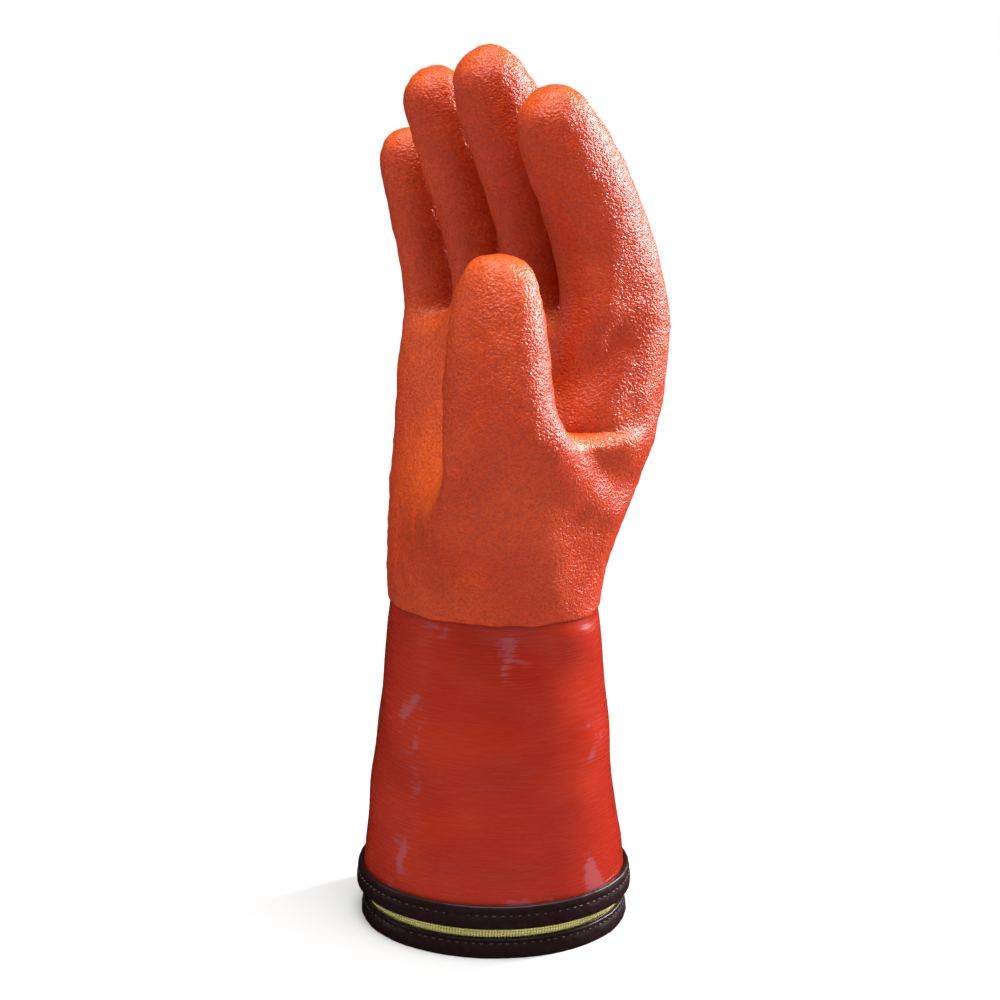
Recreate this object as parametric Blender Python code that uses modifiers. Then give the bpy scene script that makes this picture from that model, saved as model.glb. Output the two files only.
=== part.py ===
"""A PVC coated work glove for a right hand, standing on its cuff with the fingers up.

The hand coat is one seamless shell with a palm, a thumb and four fingers. Its lower rim laps
over a smooth gauntlet sleeve. A knitted liner shows below the sleeve, and a folded tape binds
each of their two lower edges.

Metres. +Z is up and the palm faces -Y, with the thumb on the +X side. The origin is on the
floor, at the middle of the cuff.
"""

import math
from collections import namedtuple

import bpy
import numpy as np
from mathutils import Vector

# Lengths along the glove
CUFF_HEIGHT = 0.1135
PALM_LENGTH = 0.1065
COAT_LAP = 0.0060
LAP_RUN = 0.0030  # how far the thin rim of the coat goes on above the sleeve

# Girths, outside
CUFF_WIDTH = 0.0972
CUFF_DEPTH = 0.0957
WRIST_WIDTH = 0.0790
WRIST_DEPTH = 0.0670
PALM_WIDTH = 0.1080
PALM_DEPTH = 0.0490
KNUCKLE_SET_BACK = 0.0180
KNUCKLE_TURN = 3.0  # degrees that the knuckles are turned, with the index finger going back
THENAR_BULGE = 0.0420

# Walls and clearances
HAND_WALL = 0.0024
COAT_STEP = 0.0010
SLEEVE_WALL = 0.0016
LINER_WALL = 0.0018
TAPE_WALL = 0.0014
CLEARANCE = 0.0003
LAP_CLEARANCE = 0.0003

# Folds of the hand coat
FOLD_REACH = 0.0060
FOLD_DEPTH = 0.0030

# Bindings and the strip of liner between them
SLEEVE_TAPE_HEIGHT = 0.0080
LINER_TAPE_HEIGHT = 0.0068
LINER_STRIP_HEIGHT = 0.0042
LINER_SET_IN = 0.0028  # from the sleeve's line in to the strip
TAPE_CORNER = 0.0005
STRIP_TOP = LINER_TAPE_HEIGHT + LINER_STRIP_HEIGHT

# Fingers, as on the middle finger
FINGER_LENGTH = 0.0980
FINGER_WIDTH = 0.0256
FINGER_DEPTH = 0.0390

# Thumb
THUMB_LENGTH = 0.0760
THUMB_WIDTH = 0.0385
THUMB_TIP_WIDTH = 0.0295
THUMB_OUT = 0.0430
THUMB_FORE = 0.0340

AROUND = 40  # sides of the sleeve, the liner and the tapes, as many as the coat has at the wrist
SMOOTHING = 2  # subdivision steps of the coat's cage
COLUMNS = 5  # lines of the cage from the thumb's side to the little finger's, on each face

PalmRow = namedtuple("PalmRow", "height spread thin set_back flat thenar")
# height is a share of PALM_LENGTH. spread and thin go from the wrist's girth to the palm's,
# set_back is a share of KNUCKLE_SET_BACK and of KNUCKLE_TURN, flat goes from an oval to a flat
# hand, and thenar is a share of THENAR_BULGE.
PALM_ROWS = (
    PalmRow(0.00, 0.00, 0.00, 0.00, 0.00, 0.00),
    PalmRow(0.11, 0.10, 0.00, 0.02, 0.00, 0.18),
    PalmRow(0.25, 0.36, 0.15, 0.24, 0.20, 0.60),
    PalmRow(0.40, 0.62, 0.50, 0.52, 0.60, 0.98),
    PalmRow(0.60, 0.85, 0.92, 0.86, 0.90, 0.05),
    PalmRow(1.00, 1.00, 1.00, 1.00, 1.00, 0.00),
)
# The share of the bulge that each line of the palm takes, from the thumb's side.
THENAR_COLUMNS = (0.88, 0.96, 0.34, 0.00, 0.00)
THUMB_ROW = 3  # the thumb grows between this row of the palm and the next

# How far each line between two fingers stands above PALM_LENGTH, as a share of it, from the
# index finger's outer side to the little finger's.
WEB_RISE = (-0.100, -0.070, -0.060, -0.090, -0.150)

Finger = namedtuple(
    "Finger", "name length root_width root_depth tip_width tip_depth lean curl splay"
)
# length, the widths and the depths are shares of FINGER_LENGTH, FINGER_WIDTH and FINGER_DEPTH.
# lean and curl are degrees towards the palm, and splay is degrees towards the thumb.
FINGERS = (
    Finger("index", 0.90, 1.00, 1.11, 0.97, 0.77, 5.0, 31.0, 1.0),
    Finger("middle", 1.00, 1.00, 1.00, 0.97, 0.76, 6.0, 26.0, 0.0),
    Finger("ring", 0.93, 0.99, 0.95, 0.94, 0.70, 8.0, 22.0, -1.0),
    Finger("little", 0.72, 0.96, 0.88, 0.87, 0.65, 10.0, 10.0, -2.0),
)
FingerRing = namedtuple("FingerRing", "along bend taper girth")
# bend is the share of the curl that the finger has made at this ring, and taper is how far it
# has gone from the root's girth to the tip's.
FINGER_RINGS = (
    FingerRing(0.10, 0.10, 0.00, 1.00),
    FingerRing(0.40, 0.65, 0.40, 1.00),
    FingerRing(0.76, 1.00, 0.80, 1.02),
    FingerRing(1.01, 1.15, 1.00, 0.78),
)

ThumbRing = namedtuple("ThumbRing", "along out fore taper girth")
# along is a share of THUMB_LENGTH upwards. out and fore are how far the ring has gone from the
# thumb's root to THUMB_OUT and THUMB_FORE.
THUMB_RINGS = (
    ThumbRing(0.13, 0.85, 0.95, 0.00, 1.00),
    ThumbRing(0.40, 1.00, 1.00, 0.40, 1.00),
    ThumbRing(0.72, 1.03, 1.01, 0.75, 1.00),
    ThumbRing(0.965, 1.04, 0.98, 1.00, 0.66),
)
THUMB_START_ANGLE = 240  # where the thumb's first corner lies, seen from its tip

Fold = namedtuple("Fold", "name out fore rise to_out to_fore to_rise reach depth")
# A fold runs straight from one point to another. out is a share of half of PALM_WIDTH from the
# cuff's axis, fore a share of half of PALM_DEPTH towards the palm, and rise a share of
# PALM_LENGTH above the cuff. reach and depth are shares of FOLD_REACH and FOLD_DEPTH, and a
# ridge has a negative depth.
FOLDS = (
    Fold("finger crease", 0.70, 0.25, 0.75, 1.00, -0.60, 0.91, 1.00, 0.75),
    Fold("finger pad", 0.70, 0.00, 0.93, 0.90, -0.10, 0.98, 1.10, -0.35),
    Fold("web dent", 1.00, 0.35, 0.58, 0.92, -0.40, 0.48, 1.10, 1.00),
    Fold("web ridge", 0.90, 0.00, 0.65, 0.96, -1.00, 0.58, 0.90, -0.40),
    Fold("palm crease", 0.30, 0.40, 0.72, -0.95, 0.30, 0.86, 1.10, 0.45),
    Fold("heel crease", -0.10, 1.20, 0.25, 0.10, 0.50, 0.62, 1.30, 0.55),
)


def mix(start, end, share):
    return start + (end - start) * share


def cage_scale(sides):
    """How much smaller a smoothed ring comes out than its cage of this many sides."""
    return (2 + math.cos(2 * math.pi / sides)) / 3


def cuff_outline(height):
    """Half the width and half the depth of the sleeve at this height above the floor."""
    share = height / CUFF_HEIGHT
    return (
        mix(CUFF_WIDTH, WRIST_WIDTH, share) / 2,
        mix(CUFF_DEPTH, WRIST_DEPTH, share) / 2,
    )


def ring_points(height, offset, sides):
    """A level oval ring round the cuff, this far outside the sleeve's own surface."""
    half_width, half_depth = cuff_outline(height)
    angles = 2 * math.pi * np.arange(sides) / sides
    return np.stack(
        (
            (half_width + offset) * np.cos(angles),
            (half_depth + offset) * np.sin(angles),
            np.full(sides, height),
        ),
        axis=1,
    )


def material(name, colour, roughness):
    made = bpy.data.materials.new(name)
    made.use_nodes = True
    surface = made.node_tree.nodes["Principled BSDF"]
    surface.inputs["Base Color"].default_value = (*colour, 1.0)
    surface.inputs["Roughness"].default_value = roughness
    surface.inputs["Metallic"].default_value = 0.0
    return made


def mesh_object(name, points, faces, finish, collection):
    mesh = bpy.data.meshes.new(name)
    mesh.from_pydata([tuple(p) for p in points], [], faces)
    mesh.materials.append(finish)
    mesh.shade_smooth()
    made = bpy.data.objects.new(name, mesh)
    collection.objects.link(made)
    return made


def carried_band(name, profile, finish, collection):
    """A closed profile of (offset, height) points carried once round the cuff."""
    rings = [ring_points(height, offset, AROUND) for offset, height in profile]
    faces = []
    for i in range(len(rings)):
        here, there = i * AROUND, (i + 1) % len(rings) * AROUND
        for j in range(AROUND):
            k = (j + 1) % AROUND
            faces.append((here + j, here + k, there + k, there + j))
    return mesh_object(name, np.concatenate(rings), faces, finish, collection)


class Cage:
    """Points and four-sided faces of the coat before it is smoothed."""

    def __init__(self):
        self.points = []
        self.faces = []

    def add_ring(self, ring):
        first = len(self.points)
        self.points.extend(Vector(p) for p in ring)
        return list(range(first, first + len(ring)))

    def join_rings(self, low, high, skip=()):
        for j in range(len(low)):
            k = (j + 1) % len(low)
            if j not in skip:
                self.faces.append((low[j], low[k], high[k], high[j]))

    def centre(self, ring):
        return sum((self.points[i] for i in ring), Vector()) / len(ring)


def palm_ring(row, rises=(0,) * COLUMNS):
    """Ten cage points round the hand: the back from the thumb's side, then the palm back to it."""
    scale = cage_scale(2 * COLUMNS)
    half_width = mix(WRIST_WIDTH / 2, PALM_WIDTH / 2, row.spread) + COAT_STEP
    half_depth = mix(WRIST_DEPTH / 2, PALM_DEPTH / 2, row.thin) + COAT_STEP
    height = CUFF_HEIGHT + row.height * PALM_LENGTH
    centre_y = row.set_back * KNUCKLE_SET_BACK
    turn = row.set_back * math.radians(KNUCKLE_TURN)
    ring = []
    for j in range(2 * COLUMNS):
        back = j < COLUMNS
        column = j if back else 2 * COLUMNS - 1 - j
        angle = math.pi * (column + 0.5) / COLUMNS
        round_x = half_width * math.cos(angle) / scale
        round_y = half_depth * math.sin(angle) / scale
        flat_x = half_width * (1 - 2 * column / (COLUMNS - 1))
        flat_y = half_depth
        x = mix(round_x, flat_x, row.flat)
        y = mix(round_y, flat_y, row.flat)
        if not back:
            y = -y - row.thenar * THENAR_BULGE * THENAR_COLUMNS[column]
        y += centre_y
        ring.append(
            (
                x * math.cos(turn) - y * math.sin(turn),
                x * math.sin(turn) + y * math.cos(turn),
                height + rises[column] * PALM_LENGTH,
            )
        )
    return ring


def finger_rings(finger, root):
    """Square rings along a line that leaves root and curls towards the palm."""
    splay = math.tan(math.radians(finger.splay))
    corner = math.sqrt(0.5) / cage_scale(4)
    centre, last_along, last_angle = root, 0.0, math.radians(finger.lean)
    rings = []
    for part in FINGER_RINGS:
        angle = math.radians(finger.lean + finger.curl * part.bend)
        step = (part.along - last_along) * finger.length * FINGER_LENGTH
        mean = (angle + last_angle) / 2
        upward = step * math.cos(mean)
        centre = centre + Vector((splay * upward, -step * math.sin(mean), upward))
        width = mix(finger.root_width, finger.tip_width, part.taper) * FINGER_WIDTH / 2
        depth = mix(finger.root_depth, finger.tip_depth, part.taper) * FINGER_DEPTH / 2
        across = Vector((1, 0, 0)) * width * corner * part.girth
        through = Vector((0, math.cos(angle), math.sin(angle))) * depth * corner * part.girth
        rings.append(
            [
                centre + across + through,
                centre - across + through,
                centre - across - through,
                centre + across - through,
            ]
        )
        last_along, last_angle = part.along, angle
    return rings


def thumb_rings(root):
    """Six-sided rings up the thumb, each square to the line to it from the one before."""
    centres = [
        Vector(
            (
                mix(root.x, THUMB_OUT, part.out),
                mix(root.y, -THUMB_FORE, part.fore),
                root.z + part.along * THUMB_LENGTH,
            )
        )
        for part in THUMB_RINGS
    ]
    below = [centres[0] - Vector((0, 0, THUMB_LENGTH)), *centres[:-1]]
    rings = []
    for part, centre, last in zip(THUMB_RINGS, centres, below):
        along = (centre - last).normalized()
        fore = Vector((0, 1, 0))
        fore = (fore - along * fore.dot(along)).normalized()
        out = fore.cross(along)
        radius = mix(THUMB_WIDTH, THUMB_TIP_WIDTH, part.taper) / 2 * part.girth / cage_scale(6)
        ring = []
        for k in range(6):
            angle = math.radians(THUMB_START_ANGLE + 60 * k)
            ring.append(centre + (out * math.cos(angle) + fore * math.sin(angle)) * radius)
        rings.append(ring)
    return rings


def hand_cage():
    cage = Cage()
    rows = [cage.add_ring(palm_ring(row)) for row in PALM_ROWS[:-1]]
    rows.append(cage.add_ring(palm_ring(PALM_ROWS[-1], WEB_RISE)))
    outer = 2 * COLUMNS - 1
    inner = outer - 1
    for i in range(len(rows) - 1):
        cage.join_rings(rows[i], rows[i + 1], skip=(inner, outer) if i == THUMB_ROW else ())
    web = rows[-1]
    for i, finger in enumerate(FINGERS):
        low = [web[i], web[i + 1], web[outer - i - 1], web[outer - i]]
        for ring in finger_rings(finger, cage.centre(low)):
            high = cage.add_ring(ring)
            cage.join_rings(low, high)
            low = high
        cage.faces.append(tuple(low))
    under, over = rows[THUMB_ROW], rows[THUMB_ROW + 1]
    low = [under[inner], under[outer], under[0], over[0], over[outer], over[inner]]
    for ring in thumb_rings(cage.centre(low)):
        high = cage.add_ring(ring)
        cage.join_rings(low, high)
        low = high
    cage.faces.append((low[0], low[1], low[2], low[5]))
    cage.faces.append((low[2], low[3], low[4], low[5]))
    return cage


def press_folds(mesh):
    """Moves each point along its own normal by a bell curve of its distance to each fold."""
    points = np.array([v.co for v in mesh.vertices])
    normals = np.array([v.normal for v in mesh.vertices])
    sizes = np.array((PALM_WIDTH / 2, -PALM_DEPTH / 2, PALM_LENGTH))
    cuff_top = np.array((0, 0, CUFF_HEIGHT))
    moves = np.zeros(len(points))
    for fold in FOLDS:
        start = cuff_top + sizes * (fold.out, fold.fore, fold.rise)
        run = cuff_top + sizes * (fold.to_out, fold.to_fore, fold.to_rise) - start
        share = np.clip((points - start) @ run / (run @ run), 0, 1)
        distance = np.linalg.norm(points - start - share[:, None] * run, axis=1)
        bell = np.exp(-((distance / (fold.reach * FOLD_REACH)) ** 2) / 2)
        moves -= fold.depth * FOLD_DEPTH * bell
    for vertex, point in zip(mesh.vertices, points + normals * moves[:, None]):
        vertex.co = point


def hand_coat(finish, collection):
    cage = hand_cage()
    made = mesh_object("hand_coat", cage.points, cage.faces, finish, collection)
    smooth = made.modifiers.new("smooth", "SUBSURF")
    smooth.levels = SMOOTHING
    smooth.render_levels = SMOOTHING
    bpy.context.view_layer.update()
    evaluated = made.evaluated_get(bpy.context.evaluated_depsgraph_get())
    made.data = bpy.data.meshes.new_from_object(evaluated)
    made.modifiers.clear()
    press_folds(made.data)
    rim_top = CUFF_HEIGHT + COAT_LAP + LAP_RUN
    full = made.vertex_groups.new(name="full_wall")
    full.add([v.index for v in made.data.vertices if v.co.z > rim_top], 1.0, "REPLACE")
    wall = made.modifiers.new("wall", "SOLIDIFY")
    wall.thickness = HAND_WALL
    wall.offset = -1
    wall.vertex_group = full.name
    wall.thickness_vertex_group = (COAT_STEP - LAP_CLEARANCE) / HAND_WALL
    return made


def gauntlet_sleeve(finish, collection):
    bottom = STRIP_TOP + TAPE_WALL + CLEARANCE
    top = CUFF_HEIGHT + COAT_LAP - CLEARANCE
    heights = np.linspace(bottom, top, 3)
    outside = [(0, height) for height in heights]
    inside = [(-SLEEVE_WALL, height) for height in heights[::-1]]
    return carried_band("gauntlet_sleeve", outside + inside, finish, collection)


def folded_tape(name, outer_face, wall, bottom, height, finish, collection):
    """A tape folded round the lower edge of a wall whose outer face is this far out."""
    near, far = outer_face + CLEARANCE, outer_face - wall - CLEARANCE
    outside, inside = near + TAPE_WALL, far - TAPE_WALL
    top, fold = bottom + height, bottom + TAPE_WALL
    profile = [
        (outside - TAPE_CORNER, bottom),
        (outside, bottom + TAPE_CORNER),
        (outside, top - TAPE_CORNER),
        (near, top),
        (near, fold),
        (far, fold),
        (far, top),
        (inside, top),
        (inside, bottom),
    ]
    return carried_band(name, profile, finish, collection)


def liner(finish, collection):
    """A knitted tube that passes inside the sleeve's tape and comes out below it."""
    strip = -LINER_SET_IN
    behind_tape = -SLEEVE_WALL - CLEARANCE - TAPE_WALL - CLEARANCE
    outside = [
        (strip, TAPE_WALL + CLEARANCE),
        (strip, STRIP_TOP - CLEARANCE - LINER_WALL / 2),
        (behind_tape, STRIP_TOP - CLEARANCE),
        (behind_tape, CUFF_HEIGHT),
    ]
    inside = [(offset - LINER_WALL, height) for offset, height in outside[::-1]]
    return carried_band("liner", outside + inside, finish, collection)


def build():
    for old in list(bpy.data.objects):
        bpy.data.objects.remove(old)
    glove = bpy.data.collections.new("work_glove")
    bpy.context.scene.collection.children.link(glove)
    grained = material("grained_pvc", (0.72, 0.09, 0.02), 0.45)
    smooth = material("smooth_pvc", (0.62, 0.04, 0.01), 0.30)
    knitted = material("knitted_liner", (0.62, 0.55, 0.13), 0.90)
    tape = material("binding_tape", (0.03, 0.01, 0.01), 0.60)
    hand_coat(grained, glove)
    gauntlet_sleeve(smooth, glove)
    folded_tape("sleeve_tape", 0, SLEEVE_WALL, STRIP_TOP, SLEEVE_TAPE_HEIGHT, tape, glove)
    liner(knitted, glove)
    folded_tape("liner_tape", -LINER_SET_IN, LINER_WALL, 0, LINER_TAPE_HEIGHT, tape, glove)


if __name__ == "__main__":
    build()
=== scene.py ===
"""A PVC coated work glove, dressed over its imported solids.

The hand is a dipped skin of grained PVC over a smooth gauntlet sleeve. A knitted liner shows
below the sleeve, and a folded, stitched tape binds each of their lower edges. Metres, +Z up, the
palm faces -Y and the thumb is on the +X side, as in the frame.
"""

import math
from collections import namedtuple

import bmesh
import bpy
import numpy as np
from bpy.props import FloatProperty, FloatVectorProperty, IntProperty, PointerProperty
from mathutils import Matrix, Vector


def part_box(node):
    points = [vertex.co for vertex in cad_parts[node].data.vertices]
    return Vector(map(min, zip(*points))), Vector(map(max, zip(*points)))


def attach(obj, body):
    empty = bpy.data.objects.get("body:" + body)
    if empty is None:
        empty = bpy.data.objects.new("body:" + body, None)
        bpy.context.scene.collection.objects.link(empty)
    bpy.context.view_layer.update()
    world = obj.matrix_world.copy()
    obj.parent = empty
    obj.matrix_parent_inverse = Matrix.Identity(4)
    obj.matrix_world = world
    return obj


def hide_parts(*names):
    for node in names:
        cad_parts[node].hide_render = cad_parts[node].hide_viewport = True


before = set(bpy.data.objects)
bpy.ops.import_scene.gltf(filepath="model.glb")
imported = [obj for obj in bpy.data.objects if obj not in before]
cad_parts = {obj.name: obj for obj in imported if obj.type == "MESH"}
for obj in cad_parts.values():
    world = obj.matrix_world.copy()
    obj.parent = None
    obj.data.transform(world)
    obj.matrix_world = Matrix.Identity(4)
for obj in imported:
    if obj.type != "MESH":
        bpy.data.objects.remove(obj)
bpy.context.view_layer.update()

bl_info = {
    "name": "PVC coated work glove",
    "version": (1, 0, 0),
    "blender": (4, 5, 0),
    "location": "3D View > Sidebar > Glove",
    "description": "Dresses the solids of a PVC coated work glove",
    "category": "Object",
}

MM = 0.001
WELD = 0.02 * MM  # points of the solids that are nearer than this are one

Press = namedtuple("Press", "name angle height to_angle to_height reach depth")
# A soft dent of the sleeve runs from one point to another. The angles are degrees round the cuff
# from the thumb's side, the heights are shares of the sleeve's height, and reach and depth are
# shares of the sleeve's press reach and depth. A ridge has a negative depth.
PRESSES = (
    Press("wrist fold", -30, 0.93, 8, 0.76, 1.0, 1.0),
    Press("wrist swell", -2, 0.95, 22, 0.84, 1.2, -0.5),
    Press("front flute", -76, 0.85, -70, 0.25, 1.1, -0.45),
    Press("back fold", 120, 0.90, 165, 0.80, 1.2, 0.8),
    Press("low dent", 20, 0.22, 60, 0.34, 1.5, 0.6),
)

Fold = namedtuple("Fold", "name start end reach depth")
# A soft groove of the hand, from a start to an end point in millimetres. Its reach is half its
# width and its depth is its deepest, in millimetres too. A swelling has a negative depth.
FOLDS = (
    Fold("groove under the web", (54, -6, 173), (47, 16, 158), 4.6, 1.8),
    Fold("ridge of the thumb", (58, -24, 177), (45, 15, 151), 5.5, -1.6),
    Fold("swell of the web", (47, -3, 178), (51, 14, 174), 4.5, -1.2),
    Fold("crease of the index finger", (42, -5, 190), (51, 12, 207), 4.8, 1.9),
    Fold("swell of the index finger", (43, -3, 206), (49, 2, 217), 6.0, -1.1),
    Fold("ridge of the wrist", (48, -18, 151), (39, -10, 117), 6.0, -1.2),
    Fold("groove beside the thumb", (4, -28, 163), (17, -40, 128), 4.8, 1.9),
    Fold("flute of the wrist", (0, -36, 126), (-2, -34, 114), 4.0, -0.5),
    Fold("back of the wrist", (10, 44, 140), (-24, 38, 132), 5.0, 0.9),
    Fold("far side of the wrist", (-38, 4, 142), (-36, 20, 132), 4.5, 0.9),
)

ReflectionPatch = namedtuple("ReflectionPatch", "name angle height wide tall amount")
# A patch of painted reflection, pale lilac, on the sleeve: where its middle is, as for a dent, and its
# half width and half height in millimetres.
REFLECTION_PATCHES = (
    ReflectionPatch("below the hand", -28, 0.86, 6, 9, 1.0),
    ReflectionPatch("front, high", -72, 0.90, 8, 9, 0.8),
    ReflectionPatch("front, middle", -84, 0.55, 5, 14, 0.35),
    ReflectionPatch("front, low", -88, 0.16, 6, 8, 0.6),
    ReflectionPatch("above the tape", -22, 0.05, 12, 3, 0.7),
    ReflectionPatch("thumb side, low", 8, 0.10, 5, 7, 0.6),
    ReflectionPatch("thumb side", 18, 0.60, 6, 20, 0.4),
    ReflectionPatch("back, high", 96, 0.75, 11, 14, 0.6),
    ReflectionPatch("back, low", 150, 0.25, 12, 9, 0.6),
    ReflectionPatch("far side", 205, 0.60, 9, 14, 0.6),
)

# Where the camera stands: degrees round and above the glove, and metres from the aimed point. The
# lens and the sensor are in millimetres.
VIEW_AZIMUTH = 50.0
VIEW_ELEVATION = 11.9
VIEW_DISTANCE = 0.787
VIEW_TARGET = (0.0015, 0.0018, 0.1487)
VIEW_LENS = 82.1
VIEW_SENSOR = 36.0

# The sun's soft disc, how far it leans, and how far round from the camera it leans to, in degrees.
SUN_DISC = 60.0
SUN_LEAN = 14.0
SUN_ROUND = 20.0
FLOOR_REACH = 6.0

# Steps round the cuff, and the roundings and longest runs of the profiles carried round it.
SLEEVE_STEPS = 240
TAPE_STEPS = 480
STEPS_IN_A_RIB = 6
SLEEVE_ROUNDING = 0.4 * MM
SLEEVE_RUN = 1.3 * MM
TAPE_ROUNDING = 0.6 * MM
TAPE_RUN = 0.55 * MM

# The heights over which a surface's relief dies out towards an edge. The lap's two heights are
# measured down from the hand's lower edge.
RIM_FADE = 12 * MM
WAVY_EDGE = 9 * MM
TAPE_FADE = 14 * MM
LAP_FADE = (6 * MM, 1 * MM)

# The mean radius of the hand's hollow, for the map of the knit inside it.
HOLLOW_RADIUS = 36 * MM

# The knit shows from just inside one tape to just inside the other.
KNIT_TUCK = 0.5 * MM
KNIT_TURN = 1.2 * MM
KNIT_BACK = 0.3 * MM
KNIT_ROWS = 25
LOOP_SLANT = 1.6  # how far the ribs shift the rows of loops, in radians

# A stitch has this many rings of points along it, and this many points in a ring. Its uneven place
# is a share of the pitch, and its uneven slant a height.
STITCH_RINGS = 7
STITCH_SIDES = 6
STITCH_STRAY = 0.05
STITCH_SLANT = 0.10 * MM

# The stitches draw the tape in over this height. Its fine and its broad rumples each have a
# height and a spacing.
DRAWN_IN = 0.75 * MM
FINE_RUMPLE = (0.04 * MM, 3.5 * MM)
BROAD_RUMPLE = (0.07 * MM, 15 * MM)

PVC_REFRACTION = 1.54


def linear(hex_colour):
    """An sRGB hex colour as linear red, green and blue."""
    parts = [int(hex_colour[i : i + 2], 16) / 255 for i in (1, 3, 5)]
    return tuple(p / 12.92 if p <= 0.04045 else ((p + 0.055) / 1.055) ** 2.4 for p in parts)


def colour_setting(name, description, hex_colour):
    return FloatVectorProperty(
        name=name, description=description, subtype="COLOR", min=0, max=1, default=linear(hex_colour)
    )


def length_setting(name, description, millimetres):
    return FloatProperty(
        name=name,
        description=description,
        unit="LENGTH",
        min=0,
        precision=5,
        default=millimetres * MM,
    )


class GloveHandSettings(bpy.types.PropertyGroup):
    colour: colour_setting("Coat", "Mid colour of the grained PVC", "#BC3811")
    # Raised grain: the coat's random paler tone, and also a painted highlight on the tops of the grain.
    light: colour_setting("Raised grain", "Colour on the top of the grain", "#DC5418")
    # Sunk grain: painted shade in the hollows of the grain.
    dark: colour_setting("Sunk grain", "Colour between the grain", "#96240E")
    # Painted top light: a paler orange on the faces that look up, where the light from above falls.
    painted_top_light: colour_setting("Toplit coat", "Colour of the faces that look up", "#E85F1E")
    grain_width: length_setting("Grain width", "Width of one crinkle of the grain", 1.05)
    grain_height: length_setting("Grain height", "Height of the grain", 0.50)
    lump_width: length_setting("Lump width", "Spacing of the soft lumps of the dipped skin", 11.0)
    lump_height: length_setting("Lump height", "Height of the soft lumps", 0.14)
    ripple_width: length_setting("Ripple width", "Spacing of the finer ripples", 3.6)
    ripple_height: length_setting("Ripple height", "Height of the finer ripples", 0.07)
    edge_wave: length_setting("Edge wave", "How far the dipped edge at the wrist runs up and down", 0.25)


class GloveSleeveSettings(bpy.types.PropertyGroup):
    colour: colour_setting("Sleeve", "Mid colour of the smooth PVC", "#972110")
    light: colour_setting("Thin places", "Colour where the coat lets the light in", "#B03014")
    # Painted reflection: a pale lilac laid in patches on the glossy PVC.
    painted_reflection: colour_setting("ReflectionPatch", "Pale lilac film left on the PVC in patches", "#9A4A50")
    wave_width: length_setting("Wave width", "Spacing of the soft waves", 34.0)
    wave_height: length_setting("Wave height", "Height of the soft waves", 0.28)
    press_reach: length_setting("Press reach", "Half width of a dent", 6.0)
    press_depth: length_setting("Press depth", "Depth of a dent", 1.1)
    streak_spacing: length_setting("Streak spacing", "Spacing of the fine level streaks", 0.55)
    streak_length: length_setting("Streak length", "Length of the fine level streaks", 9.0)


class GloveBindingSettings(bpy.types.PropertyGroup):
    tape: colour_setting("Tape", "Colour of the folded binding tape", "#1E0C0B")
    # Painted sheen: the paler, purplish colour on the crests of the tape's wrinkles.
    tape_sheen: colour_setting("Highlit tape", "Colour where the tape is rubbed", "#2A151A")
    thread: colour_setting("Thread", "Colour of the stitches", "#3C2830")
    knit: colour_setting("Knit", "Colour of the knitted liner", "#F0E888")
    knit_dark: colour_setting("Knit shade", "Colour between the ribs", "#B8AC4C")
    rib_spacing: length_setting("Rib spacing", "Spacing of the liner's ribs", 1.05)
    rib_height: length_setting("Rib height", "Height of the liner's ribs", 0.30)
    loop_spacing: length_setting("Loop spacing", "Spacing of the knitted rows", 0.85)
    stitch_length: length_setting("Stitch length", "Length of one stitch", 1.9)
    stitch_gap: length_setting("Stitch gap", "Gap between two stitches", 1.0)
    thread_width: length_setting("Thread width", "Thickness of the thread", 0.42)
    tape_bulge: length_setting("Tape bulge", "How far the middle of the tape stands proud", 0.35)
    strip_bulge: length_setting("Strip bulge", "How far the knit swells between the tapes", 1.0)


class GloveStageSettings(bpy.types.PropertyGroup):
    floor: colour_setting("Floor", "Colour of the floor", "#D2D2D2")
    key_power: FloatProperty(name="Key", description="Key light, behind on the right", default=2.9)
    fill_power: FloatProperty(name="Fill", description="Fill light, on the left", default=0.22)
    sun_strength: FloatProperty(name="Sun", description="Even light from above", default=5.4)
    surround_back: FloatProperty(name="Back", description="Surround behind the glove", default=0.25)
    surround_front: FloatProperty(name="Front", description="Surround behind the camera", default=0.01)
    smooth_steps: IntProperty(
        name="Smoothing", description="Subdivision steps of the hand", default=2, min=0, max=2
    )


def add_node(tree, kind, links=None, **settings):
    """Adds a node, sets its fields and unlinked inputs, and links its other inputs."""
    node = tree.nodes.new(kind)
    inputs = settings.pop("inputs", {})
    for key, value in settings.items():
        setattr(node, key, value)
    for key, value in inputs.items():
        node.inputs[key].default_value = value
    for key, source in (links or {}).items():
        tree.links.new(source, node.inputs[key])
    return node


def new_material(name):
    material = bpy.data.materials.new(name)
    material.use_nodes = True
    tree = material.node_tree
    tree.nodes.clear()
    surface = add_node(tree, "ShaderNodeBsdfPrincipled")
    add_node(tree, "ShaderNodeOutputMaterial", links={"Surface": surface.outputs["BSDF"]})
    return material, tree, surface


def rgba(colour):
    return (*colour[:3], 1.0)


def mixed(tree, factor, low, high):
    """A colour that goes from low to high with the factor. Either may be a colour or an output."""
    node = add_node(tree, "ShaderNodeMix", links={"Factor": factor}, data_type="RGBA", clamp_factor=True)
    for socket, value in ((node.inputs[6], low), (node.inputs[7], high)):
        if isinstance(value, bpy.types.NodeSocket):
            tree.links.new(value, socket)
        else:
            socket.default_value = rgba(value)
    return node.outputs[2]


def ramp(tree, source, low, high, to_low=0.0, to_high=1.0):
    """The source from low to high, as a smooth step from to_low to to_high."""
    node = add_node(
        tree,
        "ShaderNodeMapRange",
        links={"Value": source},
        interpolation_type="SMOOTHSTEP",
        inputs={"From Min": low, "From Max": high, "To Min": to_low, "To Max": to_high},
    )
    return node.outputs["Result"]


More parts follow.
